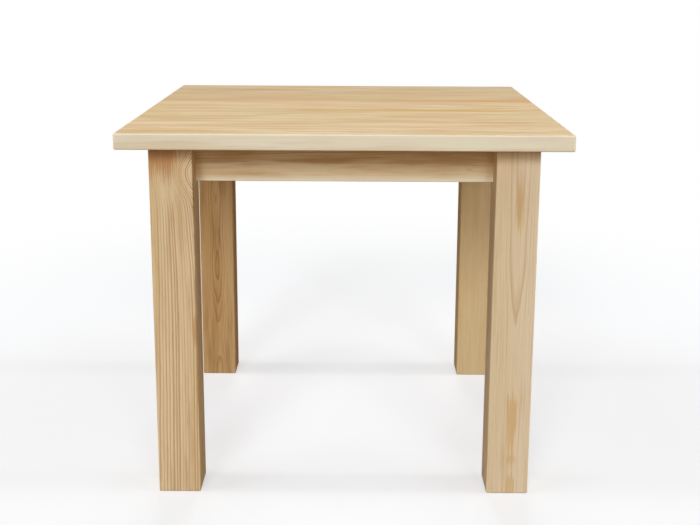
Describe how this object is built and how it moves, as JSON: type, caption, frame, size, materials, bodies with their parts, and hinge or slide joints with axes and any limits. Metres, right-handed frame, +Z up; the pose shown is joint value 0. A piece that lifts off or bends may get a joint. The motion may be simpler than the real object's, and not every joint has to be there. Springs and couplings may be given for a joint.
{
  "type": "square dining table",
  "caption": "Square solid pine dining table: glued-up top overhanging thick square legs, set-back aprons and bolted corner blocks. Free-standing.",
  "frame": {"origin": "on the floor, under the middle of the table", "axes": "+Z up; X along the boards of the top, with the front of the table facing -Y"},
  "size_m": [0.9, 0.9, 0.78],
  "materials": {
    "pine_top": "satin oiled pine",
    "pine_leg": "satin oiled pine",
    "pine_apron": "satin oiled pine",
    "pine_block": "sawn pine",
    "beech_dowel": "fluted beech",
    "zinc_steel": "bright zinc plate"
  },
  "bodies": {
    "root": {"apron_back": "pine_apron", "apron_dowels": "beech_dowel", "apron_front": "pine_apron", "apron_left": "pine_apron", "apron_right": "pine_apron", "bolt_nuts": "zinc_steel", "bolt_washers": "zinc_steel", "bracket_screws": "zinc_steel", "corner_block_back_left": "pine_block", "corner_block_back_right": "pine_block", "corner_block_front_left": "pine_block", "corner_block_front_right": "pine_block", "corner_block_screws": "zinc_steel", "hanger_bolts": "zinc_steel", "leg_back_left": "pine_leg", "leg_back_right": "pine_leg", "leg_front_left": "pine_leg", "leg_front_right": "pine_leg", "top_bracket_back_1": "zinc_steel", "top_bracket_back_2": "zinc_steel", "top_bracket_front_1": "zinc_steel", "top_bracket_front_2": "zinc_steel", "top_bracket_left_1": "zinc_steel", "top_bracket_left_2": "zinc_steel", "top_bracket_right_1": "zinc_steel", "top_bracket_right_2": "zinc_steel", "top_stave_1": "pine_top", "top_stave_2": "pine_top", "top_stave_3": "pine_top", "top_stave_4": "pine_top", "top_stave_5": "pine_top"}
  },
  "joints": []
}
